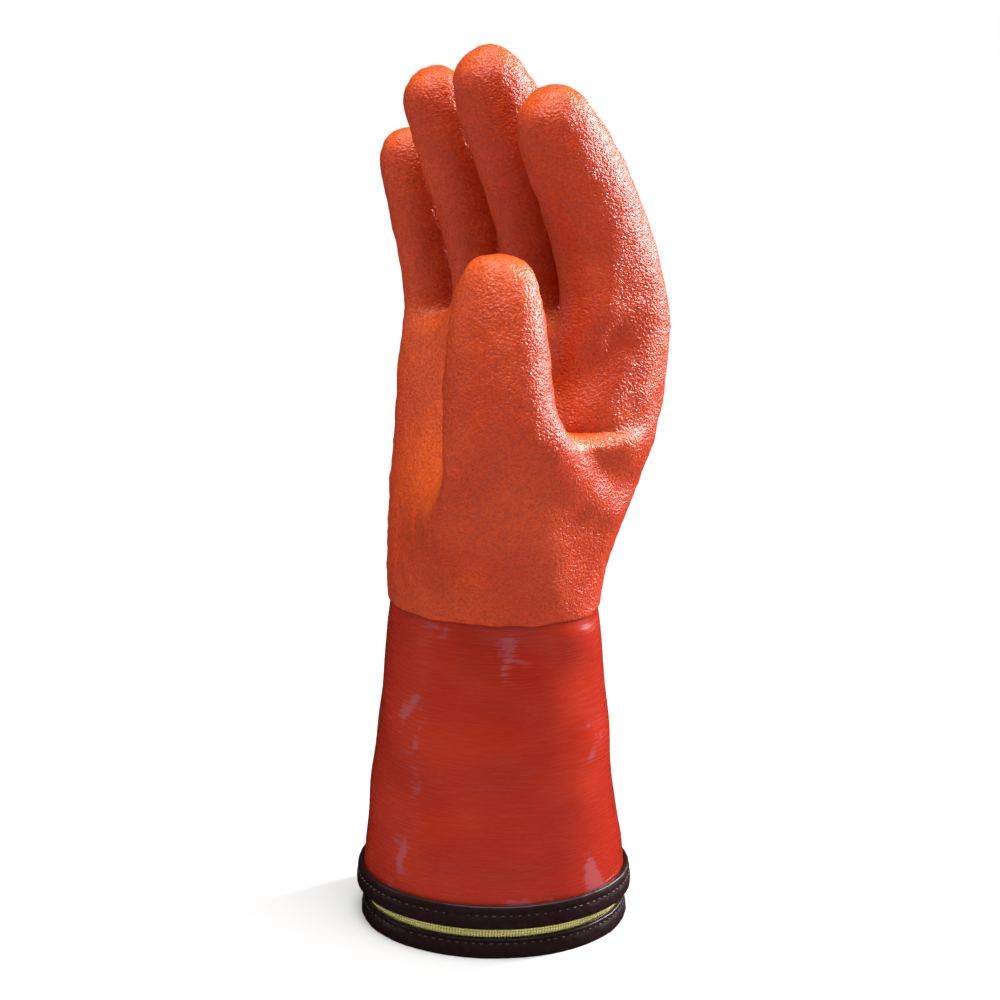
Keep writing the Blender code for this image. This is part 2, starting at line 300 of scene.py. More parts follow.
def arithmetic(tree, operation, first, second=0.0):
    node = add_node(tree, "ShaderNodeMath", operation=operation)
    for socket, value in zip(node.inputs, (first, second)):
        if isinstance(value, bpy.types.NodeSocket):
            tree.links.new(value, socket)
        else:
            socket.default_value = value
    return node.outputs[0]


def weighted_sum(tree, first, second, weight):
    """The first pattern plus the second times a weight."""
    return arithmetic(tree, "ADD", first, arithmetic(tree, "MULTIPLY", second, weight))


def object_place(tree):
    return add_node(tree, "ShaderNodeTexCoord").outputs["Object"]


def attribute_value(tree, name):
    return add_node(tree, "ShaderNodeAttribute", attribute_name=name).outputs["Fac"]


def stretched(tree, source, spacings):
    """Coordinates in which a pattern of size 1 has these real spacings along x, y and z."""
    node = add_node(tree, "ShaderNodeMapping", links={"Vector": source})
    node.inputs["Scale"].default_value = [1 / s for s in spacings]
    return node.outputs["Vector"]


def noise(tree, vector, detail=2.0, roughness=0.5, distortion=0.0):
    node = add_node(
        tree,
        "ShaderNodeTexNoise",
        links={"Vector": vector},
        inputs={"Scale": 1.0, "Detail": detail, "Roughness": roughness, "Distortion": distortion},
    )
    return node.outputs["Fac"]


def bumped(tree, surface, height, depth):
    node = add_node(
        tree, "ShaderNodeBump", links={"Height": height}, inputs={"Strength": 1.0, "Distance": depth}
    )
    tree.links.new(node.outputs["Normal"], surface.inputs["Normal"])


def grained_pvc(settings):
    """Plasticised PVC, dipped and grained: fine crinkles with a soft gloss on each top."""
    material, tree, surface = new_material("grained PVC")
    place = object_place(tree)
    width = settings.grain_width
    # The crinkles lie mostly level, so they are wider than they are high.
    level = stretched(tree, place, (width * 1.25, width * 1.25, width * 0.85))
    crinkle = noise(tree, level, detail=2.5, roughness=0.55, distortion=0.6)
    pebble = add_node(
        tree,
        "ShaderNodeTexVoronoi",
        links={"Vector": stretched(tree, place, (width * 0.9, width * 0.9, width * 0.75))},
        feature="SMOOTH_F1",
        inputs={"Scale": 1.0, "Smoothness": 0.6, "Randomness": 1.0},
    )
    pebbles = arithmetic(tree, "SUBTRACT", 0.8, pebble.outputs["Distance"])
    height = weighted_sum(tree, crinkle, pebbles, 0.55)
    shade = noise(tree, stretched(tree, place, (26 * MM, 26 * MM, 34 * MM)))
    body = mixed(tree, ramp(tree, shade, 0.35, 0.75, to_high=0.45), settings.colour, settings.light)
    # Painted top light: the faces that look up are mixed towards a paler orange.
    body = mixed(tree, attribute_value(tree, "upward"), body, settings.painted_top_light)
    # Painted shade in the hollows of the grain, then a painted highlight on its tops.
    sunk = mixed(tree, ramp(tree, height, 0.55, 0.80, to_low=0.55), settings.dark, body)
    raised = mixed(tree, ramp(tree, height, 0.84, 1.10, to_high=0.30), sunk, settings.light)
    gloss = ramp(tree, height, 0.6, 1.0, to_low=0.38, to_high=0.22)
    tree.links.new(raised, surface.inputs["Base Color"])
    tree.links.new(gloss, surface.inputs["Roughness"])
    surface.inputs["IOR"].default_value = PVC_REFRACTION
    surface.inputs["Specular IOR Level"].default_value = 0.32
    bumped(tree, surface, height, settings.grain_height)
    return material


def smooth_pvc(settings):
    """Plasticised PVC, dipped smooth: glossy, with fine level streaks and patches of painted reflection.
    """
    material, tree, surface = new_material("smooth PVC")
    place = object_place(tree)
    along, up = settings.streak_length, settings.streak_spacing
    streak = noise(tree, stretched(tree, place, (along, along, up)), roughness=0.55)
    shade = noise(tree, stretched(tree, place, (30 * MM, 30 * MM, 22 * MM)), detail=1.5)
    cloud = stretched(tree, place, (14 * MM, 14 * MM, 20 * MM))
    patch = noise(tree, cloud, detail=3.0, roughness=0.6, distortion=0.4)
    # The mask of the painted reflection: cloudy patches with streaked edges, strongest round the patches
    # of the table.
    reflection_edges = weighted_sum(tree, patch, streak, 0.30)
    reflection_edges = weighted_sum(tree, reflection_edges, attribute_value(tree, "painted_reflection"), 0.30)
    body = mixed(tree, ramp(tree, shade, 0.35, 0.75, to_high=0.5), settings.colour, settings.light)
    # Painted reflection: pale lilac mixed into the colour where the mask is high.
    reflection = ramp(tree, reflection_edges, 0.82, 0.92, to_high=0.65)
    colour = mixed(tree, reflection, body, settings.painted_reflection)
    gloss = weighted_sum(tree, ramp(tree, streak, 0.3, 0.7, to_low=0.20, to_high=0.32), reflection, 0.15)
    tree.links.new(colour, surface.inputs["Base Color"])
    tree.links.new(gloss, surface.inputs["Roughness"])
    surface.inputs["IOR"].default_value = PVC_REFRACTION
    surface.inputs["Specular IOR Level"].default_value = 0.3
    surface.inputs["Coat Weight"].default_value = 0.12
    surface.inputs["Coat Roughness"].default_value = 0.12
    bumped(tree, surface, streak, 0.002 * MM)
    return material


def binding_tape(settings):
    """Coated tape, folded and sewn: dark and softly shiny, with a painted sheen, paler, on its crests."""
    material, tree, surface = new_material("coated binding tape")
    place = object_place(tree)
    creased = stretched(tree, place, (1.6 * MM, 1.6 * MM, 2.6 * MM))
    wrinkle = noise(tree, creased, detail=3.0, roughness=0.6, distortion=0.5)
    weave = noise(tree, stretched(tree, place, [0.45 * MM] * 3), detail=1.0)
    height = weighted_sum(tree, wrinkle, weave, 0.25)
    # Painted sheen: the crests of the wrinkles are mixed towards the paler colour.
    highlit = ramp(tree, height, 0.6, 0.85, to_high=0.8)
    colour = mixed(tree, highlit, settings.tape, settings.tape_sheen)
    gloss = ramp(tree, wrinkle, 0.3, 0.7, to_low=0.50, to_high=0.34)
    tree.links.new(colour, surface.inputs["Base Color"])
    tree.links.new(gloss, surface.inputs["Roughness"])
    surface.inputs["IOR"].default_value = 1.5
    surface.inputs["Specular IOR Level"].default_value = 0.25
    bumped(tree, surface, height, 0.10 * MM)
    return material


def sewing_thread(settings):
    """Twisted polyester thread: matt, with a slight sheen on each twist."""
    material, tree, surface = new_material("sewing thread")
    place = object_place(tree)
    twist = noise(tree, stretched(tree, place, [0.3 * MM] * 3), detail=1.0)
    colour = mixed(tree, ramp(tree, twist, 0.35, 0.7), settings.tape, settings.thread)
    tree.links.new(colour, surface.inputs["Base Color"])
    surface.inputs["Roughness"].default_value = 0.6
    surface.inputs["Sheen Weight"].default_value = 0.3
    bumped(tree, surface, twist, 0.05 * MM)
    return material


def rib_knit(settings):
    """Ribbed acrylic knit: matt and soft, darker between the ribs. The pattern follows the UV map,
    whose units are metres round and along the tube."""
    material, tree, surface = new_material("rib knit")
    place = add_node(tree, "ShaderNodeUVMap").outputs["UV"]
    split = add_node(tree, "ShaderNodeSeparateXYZ", links={"Vector": place})
    turn = 2 * math.pi
    round_it = arithmetic(tree, "MULTIPLY", split.outputs["X"], turn / settings.rib_spacing)
    rib = arithmetic(tree, "COSINE", round_it)
    rows = arithmetic(tree, "MULTIPLY", split.outputs["Y"], turn / settings.loop_spacing)
    slanted = weighted_sum(tree, rows, arithmetic(tree, "ABSOLUTE", rib), LOOP_SLANT)
    loop = arithmetic(tree, "SINE", slanted)
    fibre = noise(tree, stretched(tree, place, (0.18 * MM, 0.5 * MM, 1.0)), roughness=0.6)
    height = weighted_sum(tree, weighted_sum(tree, rib, loop, 0.5), fibre, 0.8)
    # Painted shade between the ribs and the loops, broken up by the fibres.
    colour = mixed(tree, ramp(tree, height, -0.9, 1.0), settings.knit_dark, settings.knit)
    tree.links.new(colour, surface.inputs["Base Color"])
    surface.inputs["Roughness"].default_value = 0.9
    surface.inputs["Sheen Weight"].default_value = 0.4
    surface.inputs["Sheen Roughness"].default_value = 0.5
    bumped(tree, surface, height, 0.10 * MM)
    return material


def floor_paint(settings):
    """Matt studio paper, pale and even, with a faint tooth."""
    material, tree, surface = new_material("studio paper")
    place = object_place(tree)
    tooth = noise(tree, stretched(tree, place, [1.5 * MM] * 3))
    surface.inputs["Base Color"].default_value = rgba(settings.floor)
    surface.inputs["Roughness"].default_value = 0.9
    bumped(tree, surface, tooth, 0.02 * MM)
    return material


def uneven(points, spacing, seed, waves=28):
    """A smooth random field: the sum of many plane waves whose directions and phases are random
    and whose lengths lie round the spacing. Its usual size is 1."""
    rng = np.random.default_rng(seed)
    directions = rng.normal(size=(waves, points.shape[1]))
    directions /= np.linalg.norm(directions, axis=1, keepdims=True)
    lengths = spacing * rng.uniform(0.75, 1.5, waves)
    phases = rng.uniform(0, 2 * math.pi, waves)
    angles = points @ (directions * (2 * math.pi / lengths)[:, None]).T + phases
    return np.cos(angles).sum(axis=1) * math.sqrt(2 / waves)


def smooth_step(values, low, high):
    share = np.clip((values - low) / (high - low), 0, 1)
    return share * share * (3 - 2 * share)


def bell(distance, reach):
    """A bell curve of the distance, the exponential of minus half its square in reaches."""
    return np.exp(-((distance / reach) ** 2) / 2)


def line_distance(points, start, end):
    """Each point's distance to the straight line between start and end."""
    run = end - start
    share = np.clip((points - start) @ run / (run @ run), 0, 1)
    return np.linalg.norm(points - start - share[:, None] * run, axis=1)


def pushed_out(points, distances):
    """The points moved level, straight away from the cuff's axis, by these distances."""
    outward = points * (1, 1, 0)
    outward /= np.linalg.norm(outward, axis=1, keepdims=True)
    return points + outward * distances[:, None]


def read_vectors(source, field):
    values = np.empty(len(source) * 3)
    source.foreach_get(field, values)
    return values.reshape(-1, 3)


def read_points(mesh):
    return read_vectors(mesh.vertices, "co")


def write_attribute(mesh, name, values):
    layer = mesh.attributes.new(name, "FLOAT", "POINT")
    layer.data.foreach_set("value", values)


def piece(name, mesh, materials, slot, *nodes):
    """Puts a finished mesh into the scene, on the one body, in the place of its nodes."""
    for material in materials:
        mesh.materials.append(material)
    mesh.shade_smooth()
    made = bpy.data.objects.new(name, mesh)
    bpy.context.scene.collection.objects.link(made)
    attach(made, "root")
    if nodes:
        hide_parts(*nodes)
    return made


def carried(name, points, uvs=None):
    """A mesh from a closed profile carried once round a closed path.

    points has one row for each step round the path and one column for each point of the profile.
    Both directions close on themselves. uvs has one more step each way, so that it needn't.
    """
    steps, sides = points.shape[:2]
    step, side = np.meshgrid(np.arange(steps), np.arange(sides), indexing="ij")
    after, beside = (step + 1) % steps, (side + 1) % sides
    corners = np.stack(
        (step * sides + side, after * sides + side, after * sides + beside, step * sides + beside), axis=-1
    )
    mesh = bpy.data.meshes.new(name)
    mesh.from_pydata(points.reshape(-1, 3), [], corners.reshape(-1, 4))
    if uvs is not None:
        layer = mesh.uv_layers.new(name="metres")
        flat = np.stack((uvs[:-1, :-1], uvs[1:, :-1], uvs[1:, 1:], uvs[:-1, 1:]), axis=2)
        layer.data.foreach_set("uv", flat.reshape(-1))
    mesh.update()
    return mesh


def node_points(node):
    return read_points(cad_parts[node].data)


def section(node):
    """The (outward, height) points where the node's solid meets the thumb side's upright plane."""
    points = node_points(node)
    points = points[(np.abs(points[:, 1]) < WELD) & (points[:, 0] > 0)][:, (0, 2)]
    return np.unique(np.round(points, 6), axis=0)


def cuff_oval(height):
    """Half the width and half the depth of the sleeve's outer face at a height, or at many."""
    points = node_points("gauntlet_sleeve")
    ends = []
    for level in (points[:, 2].min(), points[:, 2].max()):
        ring = points[np.abs(points[:, 2] - level) < WELD]
        ends.append((level, ring[:, 0].max(), ring[:, 1].max()))
    (low, wide_low, deep_low), (high, wide_high, deep_high) = ends
    share = (np.asarray(height) - low) / (high - low)
    return wide_low + (wide_high - wide_low) * share, deep_low + (deep_high - deep_low) * share


def round_cuff(offsets, heights, steps):
    """Carries a profile of offsets from the sleeve's outer face and heights round the cuff.

    The point at angle a is (half width + offset) cos a, (half depth + offset) sin a. offsets may
    have a row for each step, and so may heights.
    """
    angles = 2 * math.pi * np.arange(steps)[:, None] / steps
    wide, deep = cuff_oval(heights)
    x = (wide + offsets) * np.cos(angles)
    y = (deep + offsets) * np.sin(angles)
    return np.stack((x, y, np.broadcast_to(heights, x.shape)), axis=-1)


def cuff_uvs(offsets, heights, steps):
    """Metres round the cuff at its mean size, and metres along the profile."""
    wide, deep = cuff_oval(np.mean(heights))
    around = math.pi * (wide + deep)
    runs = np.hypot(np.diff(offsets, append=offsets[0]), np.diff(heights, append=heights[0]))
    along = np.concatenate(([0], np.cumsum(runs)))
    u, v = np.meshgrid(around * np.arange(steps + 1) / steps, along, indexing="ij")
    return np.stack((u, v), axis=-1)


def rounded(profile, radius, arc=4):
    """The closed profile with each corner turned into an arc of the radius, as far as it fits."""
    profile = np.asarray(profile, float)
    made = []
    for before, corner, after in zip(np.roll(profile, 1, 0), profile, np.roll(profile, -1, 0)):
        back, ahead = before - corner, after - corner
        cut = min(radius, np.linalg.norm(back) / 2.2, np.linalg.norm(ahead) / 2.2)
        start = corner + back / np.linalg.norm(back) * cut
        end = corner + ahead / np.linalg.norm(ahead) * cut
        for share in np.linspace(0, 1, arc):
            made.append((1 - share) ** 2 * start + 2 * share * (1 - share) * corner + share**2 * end)
    return np.array(made)


def filled(profile, longest):
    """The closed profile with points added so that no run is longer than this."""
    made = []
    for here, there in zip(profile, np.roll(profile, -1, 0)):
        count = max(1, math.ceil(np.linalg.norm(there - here) / longest))
        made.extend(here + (there - here) * k / count for k in range(count))
    return np.array(made)


def outer_skin(mesh, lowest):
    """1 for each point on the coat's outside and its rim, 0 on its inside.

    The highest point is outside. Its mark is passed along the edges until nothing changes, and
    no edge of the rim passes it on.
    """
    points = read_points(mesh)
    edges = np.empty(len(mesh.edges) * 2, int)
    mesh.edges.foreach_get("vertices", edges)
    edges = edges.reshape(-1, 2)
    rim = points[:, 2] < lowest + WELD
    open_edges = edges[~(rim[edges[:, 0]] | rim[edges[:, 1]])]
    mark = np.zeros(len(points), bool)
    mark[points[:, 2].argmax()] = True
    count = 0
    while mark.sum() > count:
        count = mark.sum()
        touched = mark[open_edges].any(axis=1)
        mark[open_edges[touched]] = True
    touched = mark[edges].any(axis=1)
    mark[edges[touched]] = True
    return mark.astype(float)


def folded(points):
    """How far the folds sink each point: each is a bell curve of the distance to its line."""
    moves = np.zeros(len(points))
    for fold in FOLDS:
        distance = line_distance(points, np.array(fold.start) * MM, np.array(fold.end) * MM)
        moves += fold.depth * MM * bell(distance, fold.reach * MM)
    return moves


def hand_mesh(settings, steps):
    """The coat's solid, welded and smoothed, and moved along its normals by two uneven fields and
    the folds. Only its outside moves. Returns the mesh, and 1 for each point of the outside."""
    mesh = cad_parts["hand_coat"].data.copy()
    mesh.materials.clear()
    work = bmesh.new()
    work.from_mesh(mesh)
    bmesh.ops.remove_doubles(work, verts=work.verts, dist=WELD)
    bmesh.ops.join_triangles(
        work,
        faces=work.faces,
        angle_face_threshold=math.radians(50),
        angle_shape_threshold=math.radians(60),
    )
    work.to_mesh(mesh)
    work.free()
    lowest = read_points(mesh)[:, 2].min()
    write_attribute(mesh, "outside", outer_skin(mesh, lowest))
    holder = bpy.data.objects.new("holder", mesh)
    bpy.context.scene.collection.objects.link(holder)
    smooth = holder.modifiers.new("smooth", "SUBSURF")
    smooth.levels = steps
    smooth.render_levels = steps
    bpy.context.view_layer.update()
    made = bpy.data.meshes.new_from_object(holder.evaluated_get(bpy.context.evaluated_depsgraph_get()))
    bpy.data.objects.remove(holder)
    points, normals = read_points(made), read_vectors(made.vertex_normals, "vector")
    outside = np.empty(len(points))
    made.attributes["outside"].data.foreach_get("value", outside)
    fade = outside * smooth_step(points[:, 2], lowest, lowest + RIM_FADE)
    lumps = settings.lump_height * uneven(points, settings.lump_width, seed=11)
    ripples = settings.ripple_height * uneven(points, settings.ripple_width, seed=12, waves=48)
    points += normals * (fade * (lumps + ripples - folded(points)))[:, None]
    near_edge = 1 - smooth_step(points[:, 2], lowest, lowest + WAVY_EDGE)
    points[:, 2] += near_edge * settings.edge_wave * uneven(points[:, :2], 12 * MM, seed=13)
    made.vertices.foreach_set("co", points.reshape(-1))
    made.update()
    # The mask of the painted top light: how far each face looks up, taken before the surface was moved.
    write_attribute(made, "upward", smooth_step(normals[:, 2], 0.0, 0.85))
    return made, outside


class GLOVE_OT_hand(bpy.types.Operator):
    """Makes the grained skin of the hand, with the knitted lining on its inside."""

    bl_idname = "glove.hand"
    bl_label = "Grained hand"

    def execute(self, context):
        scene = context.scene
        mesh, outside = hand_mesh(scene.glove_hand, scene.glove_stage.smooth_steps)
        corners = np.empty(len(mesh.loops), int)
        mesh.loops.foreach_get("vertex_index", corners)
        starts = np.empty(len(mesh.polygons), int)
        mesh.polygons.foreach_get("loop_start", starts)
        inside = np.add.reduceat(outside[corners], starts) < 0.5
        points = read_points(mesh)
        around = np.arctan2(points[:, 1], points[:, 0]) * HOLLOW_RADIUS
        layer = mesh.uv_layers.new(name="metres")
        layer.data.foreach_set("uv", np.stack((around, points[:, 2]), axis=1)[corners].reshape(-1))
        finishes = (grained_pvc(scene.glove_hand), rib_knit(scene.glove_binding))
        piece("grained_hand", mesh, finishes, "grained_pvc", "hand_coat")
        mesh.polygons.foreach_set("material_index", inside.astype(int))
        return {"FINISHED"}


def turned_from(points, middle):
    """Degrees round the cuff from a middle angle, from -180 to 180."""
    angles = np.degrees(np.arctan2(points[:, 1], points[:, 0]))
    return (angles - middle + 180) % 360 - 180


def cuff_radius(points):
    """The mean of the cuff's half width and half depth at each point's height."""
    wide, deep = cuff_oval(points[:, 2])
    return (wide + deep) / 2


def pressed(settings, points, low, high):
    """How far the dents move the sleeve outwards: each is a bell curve of the distance to its run,
    measured round the cuff and up it."""
    radius = cuff_radius(points)
    moves = np.zeros(len(points))
    for press in PRESSES:
        turned = turned_from(points, (press.angle + press.to_angle) / 2)
        here = np.stack((np.radians(turned) * radius, points[:, 2]), axis=1)
        half = math.radians(press.to_angle - press.angle) / 2 * radius.mean()
        start = np.array((-half, low + press.height * (high - low)))
        end = np.array((half, low + press.to_height * (high - low)))
        spread = bell(line_distance(here, start, end), press.reach * settings.press_reach)
        moves -= press.depth * settings.press_depth * spread
    return moves


def reflection_amounts(points, low, high):
    """How much painted reflection lies on each point: a bell curve round the middle of each patch."""
    radius = cuff_radius(points)
    amounts = np.zeros(len(points))
    for painted_reflection in REFLECTION_PATCHES:
        across = np.radians(turned_from(points, painted_reflection.angle)) * radius
        up = points[:, 2] - low - painted_reflection.height * (high - low)
        spread = bell(across, painted_reflection.wide * MM) * bell(up, painted_reflection.tall * MM)
        amounts = np.maximum(amounts, painted_reflection.amount * spread)
    return amounts


class GLOVE_OT_sleeve(bpy.types.Operator):
    """Makes the smooth gauntlet sleeve with its soft waves, dents and patches of painted reflection."""

    bl_idname = "glove.sleeve"
    bl_label = "Gauntlet sleeve"

    def execute(self, context):
        settings = context.scene.glove_sleeve
        corners = section("gauntlet_sleeve")
        low, high = corners[:, 1].min(), corners[:, 1].max()
        wall = np.ptp(corners[np.abs(corners[:, 1] - low) < WELD][:, 0])
        box = [(0, low), (0, high), (-wall, high), (-wall, low)]
        offsets, heights = filled(rounded(box, SLEEVE_ROUNDING), SLEEVE_RUN).T
        points = round_cuff(offsets, heights, SLEEVE_STEPS)
        flat = points.reshape(-1, 3)
        waves = uneven(flat, settings.wave_width, seed=21, waves=20)
        waves += 0.25 * uneven(flat, settings.wave_width * 0.45, seed=22, waves=20)
        waves = settings.wave_height * waves + pressed(settings, flat, low, high)
        tape_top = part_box("sleeve_tape")[1][2]
        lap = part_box("hand_coat")[0][2]
        free = smooth_step(flat[:, 2], tape_top, tape_top + TAPE_FADE)
        free *= 1 - smooth_step(flat[:, 2], lap - LAP_FADE[0], lap - LAP_FADE[1])
        points = pushed_out(flat, free * waves).reshape(points.shape)
        mesh = carried("smooth_sleeve", points, cuff_uvs(offsets, heights, SLEEVE_STEPS))
        # The mask of the patches of painted reflection.
        write_attribute(mesh, "painted_reflection", reflection_amounts(flat, low, high))
        piece("smooth_sleeve", mesh, (smooth_pvc(settings),), "smooth_pvc", "gauntlet_sleeve")
        return {"FINISHED"}


def stitch_row(settings, offset, height, seed):
    """One row of stitches: each is a short tube that rises out of the tape and dives back.

    A stitch follows the cuff's oval. Its centre line is sunk by a half sine at its two ends, and
    its section is a ring of six points.
    """
    wide, deep = cuff_oval(height)
    pitch = settings.stitch_length + settings.stitch_gap
    count = int(math.pi * (wide + deep + 2 * offset) / pitch)
    rng = np.random.default_rng(seed)
    turn = 2 * math.pi * np.arange(STITCH_SIDES) / STITCH_SIDES
    number = np.arange(count)[:, None, None]
    share = np.linspace(0, 1, STITCH_RINGS)[None, :, None]
    stray = rng.normal(0, STITCH_STRAY, (count, 1, 1))
    angles = 2 * math.pi / count * (number + stray + settings.stitch_length / pitch * share)
    radius = settings.thread_width / 2 * (0.55 + 0.45 * np.sin(math.pi * share))
    rise = settings.thread_width * (np.sin(math.pi * share) - 0.75)
    slant = rng.normal(0, STITCH_SLANT, (count, 1, 1)) * (share - 0.5)
    reach = offset + rise + radius * np.cos(turn)
    x = (wide + reach) * np.cos(angles)
    y = (deep + reach) * np.sin(angles)
    z = height + slant + radius * np.sin(turn)
    return np.stack((x, y, z), axis=-1)


def stitch_mesh(name, stitches):
    """All the stitches as one mesh, each closed at its two ends by a six-sided face."""
    count, rings, sides = stitches.shape[:3]
    first = (np.arange(count) * rings * sides)[:, None, None]
    ring, side = np.meshgrid(np.arange(rings - 1), np.arange(sides), indexing="ij")
    beside = (side + 1) % sides
    here, there = ring * sides, (ring + 1) * sides
    walls = np.stack((here + side, there + side, there + beside, here + beside), axis=-1)
    walls = (first[..., None] + walls[None]).reshape(-1, 4)
    ends = first[:, :, 0] + np.arange(sides)
    caps = np.concatenate((ends, ends[:, ::-1] + (rings - 1) * sides))
    mesh = bpy.data.meshes.new(name)
    mesh.from_pydata(stitches.reshape(-1, 3), [], [*walls.tolist(), *caps.tolist()])
    mesh.update()
    work = bmesh.new()
    work.from_mesh(mesh)
    bmesh.ops.recalc_face_normals(work, faces=work.faces)
    work.to_mesh(mesh)
    work.free()
    return mesh


def tape_section(node):
    """The tape's folded profile, clockwise from its lower outer corner, as offsets from the
    sleeve's outer face and heights. near and far are the two faces of the slot in the fold."""
    corners = section(node)
    low, high = corners[:, 1].min(), corners[:, 1].max()
    outer, inner = corners[:, 0].max(), corners[:, 0].min()
    tops = np.sort(corners[np.abs(corners[:, 1] - high) < WELD][:, 0])
    levels, margin = np.unique(corners[:, 1]), 1.0 * MM
    fold = levels[(levels > low + margin) & (levels < high - margin)].min()
    top_half = cuff_oval(high)[0]
    outside = outer - cuff_oval(low + 0.5 * MM)[0]
    inside = inner - cuff_oval(low)[0]
    near, far = tops[-1] - top_half, tops[-2] - top_half
    slot = [(near, high), (near, fold), (far, fold), (far, high)]
    return [(outside, low), (outside, high), *slot, (inside, high), (inside, low)]


def tape_piece(settings, name, node, row_share, finish, thread, seed):
    """A folded tape: a U-shaped profile, bulged on its two faces and drawn in at its stitches."""
    profile = tape_section(node)
    (outside, low), (_, high), (near, _), _, (far, _), _, (inside, _), _ = profile
    offsets, heights = filled(rounded(profile, TAPE_ROUNDING, arc=5), TAPE_RUN).T
    share = (heights - low) / (high - low)
    swell = settings.tape_bulge * np.sin(math.pi * np.clip(share, 0, 1)) ** 0.7
    on_outside = smooth_step(offsets, (near + outside) / 2, outside)
    on_inside = 1 - smooth_step(offsets, inside, (inside + far) / 2)
    row_height = low + row_share * (high - low)
    angles = 2 * math.pi * np.arange(TAPE_STEPS)[:, None] / TAPE_STEPS
    around = 2 * math.pi * cuff_oval((low + high) / 2)[0]
    count = int(around / (settings.stitch_length + settings.stitch_gap))
    at_row = np.exp(-(((heights - row_height) / DRAWN_IN) ** 2))
    pull = at_row * (0.75 + 0.25 * np.cos(count * angles))
    shift = (swell - settings.tape_bulge * 0.9 * pull) * (on_outside - on_inside)
    points = round_cuff(offsets + shift, np.broadcast_to(heights, shift.shape), TAPE_STEPS)
    flat = points.reshape(-1, 3)
    rumple = FINE_RUMPLE[0] * uneven(flat, FINE_RUMPLE[1], seed, waves=40)
    rumple += BROAD_RUMPLE[0] * uneven(flat, BROAD_RUMPLE[1], seed + 1)
    weight = np.broadcast_to(on_outside + on_inside, shift.shape).reshape(-1)
    mesh = carried(name, pushed_out(flat, rumple * weight).reshape(points.shape))
    piece(name, mesh, (finish,), "binding_tape", node)
    seat = outside + settings.tape_bulge * 0.15
    stitches = stitch_mesh(name + "_stitches", stitch_row(settings, seat, row_height, seed + 2))
    piece(name + "_stitches", stitches, (thread,), "binding_tape")


class GLOVE_OT_tapes(bpy.types.Operator):
    """Makes the two folded binding tapes and their stitches."""

    bl_idname = "glove.tapes"
    bl_label = "Binding tapes"

    def execute(self, context):
        settings = context.scene.glove_binding
        looks = {"finish": binding_tape(settings), "thread": sewing_thread(settings)}
        tape_piece(settings, "sleeve_binding", "sleeve_tape", row_share=0.60, seed=31, **looks)
        tape_piece(settings, "liner_binding", "liner_tape", row_share=0.76, seed=41, **looks)
        return {"FINISHED"}


def liner_profile(corners, shown_low, shown_high):
    """The liner's closed profile: up the strip that shows, behind the sleeve's tape to the top,
    and down the inside. Returns it with the strip's offset."""
    low, high = corners[:, 1].min(), corners[:, 1].max()
    at_low = np.sort(corners[np.abs(corners[:, 1] - low) < WELD][:, 0])
    at_high = np.sort(corners[np.abs(corners[:, 1] - high) < WELD][:, 0])
    wall = at_low[1] - at_low[0]
    strip = at_low[1] - cuff_oval(low)[0]
    behind = at_high[1] - cuff_oval(high)[0]
    turn_in = shown_high - KNIT_TURN
    back = shown_high - KNIT_BACK
    shown = [(strip, h) for h in np.linspace(shown_low - KNIT_TUCK, turn_in, KNIT_ROWS + 1)]
    inside = [(behind - wall, h) for h in np.linspace(high, back, 8)]
    foot = [(strip - wall, turn_in), (strip - wall, low)]
    return np.array([(strip, low), *shown, (behind, back), (behind, high), *inside, *foot]), strip


class GLOVE_OT_liner(bpy.types.Operator):
    """Makes the knitted liner, with its ribs and rows of loops raised where it shows."""

    bl_idname = "glove.liner"
    bl_label = "Knitted liner"

    def execute(self, context):
        settings = context.scene.glove_binding
        corners = section("liner")
        low, high = corners[:, 1].min(), corners[:, 1].max()
        shown_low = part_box("liner_tape")[1][2]
        shown_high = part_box("sleeve_tape")[0][2]
        profile, strip = liner_profile(corners, shown_low, shown_high)
        offsets, heights = profile.T
        ribs = int(math.pi * sum(cuff_oval((shown_low + shown_high) / 2)) / settings.rib_spacing)
        steps = ribs * STEPS_IN_A_RIB
        rib = np.cos(ribs * 2 * math.pi * np.arange(steps)[:, None] / steps)
        loop = np.sin(2 * math.pi * heights / settings.loop_spacing + LOOP_SLANT * np.abs(rib))
        rise = np.clip((heights - shown_low) / (shown_high - shown_low), 0, 1)
        relief = settings.rib_height * (0.35 * rib + 0.2 * loop - 0.3)
        relief = relief + settings.strip_bulge * np.sin(math.pi * rise) ** 0.5
        shown = (np.abs(offsets - strip) < WELD) & (heights > low + WELD)
        relief = np.where(shown, relief, 0)
        points = round_cuff(offsets + relief, np.broadcast_to(heights, relief.shape), steps)
        uvs = cuff_uvs(offsets, heights, steps)
        mesh = carried("knitted_tube", points, uvs)
        made = piece("knitted_tube", mesh, (rib_knit(settings),), "knitted_liner", "liner")
        return {"FINISHED"}


def across_and_away():
    """Level unit vectors to the camera's right and away from it."""
    turn = math.radians(VIEW_AZIMUTH)
    return Vector((math.cos(turn), math.sin(turn), 0)), Vector((-math.sin(turn), math.cos(turn), 0))


def area_light(name, power, size, spread, place, colour):
    """A soft light, placed by metres to the camera's right, behind the glove and above the floor."""
    across, away = across_and_away()
    right, back, up = place
    data = bpy.data.lights.new(name, "AREA")
    data.shape = "RECTANGLE"
    data.size, data.size_y = size
    data.spread = math.radians(spread)
    data.energy = power
    data.color = colour
    made = bpy.data.objects.new(name, data)
    made.location = across * right + away * back + Vector((0, 0, up))
    aim = Vector(VIEW_TARGET) - made.location
    made.rotation_euler = aim.to_track_quat("-Z", "Y").to_euler()
    bpy.context.scene.collection.objects.link(made)


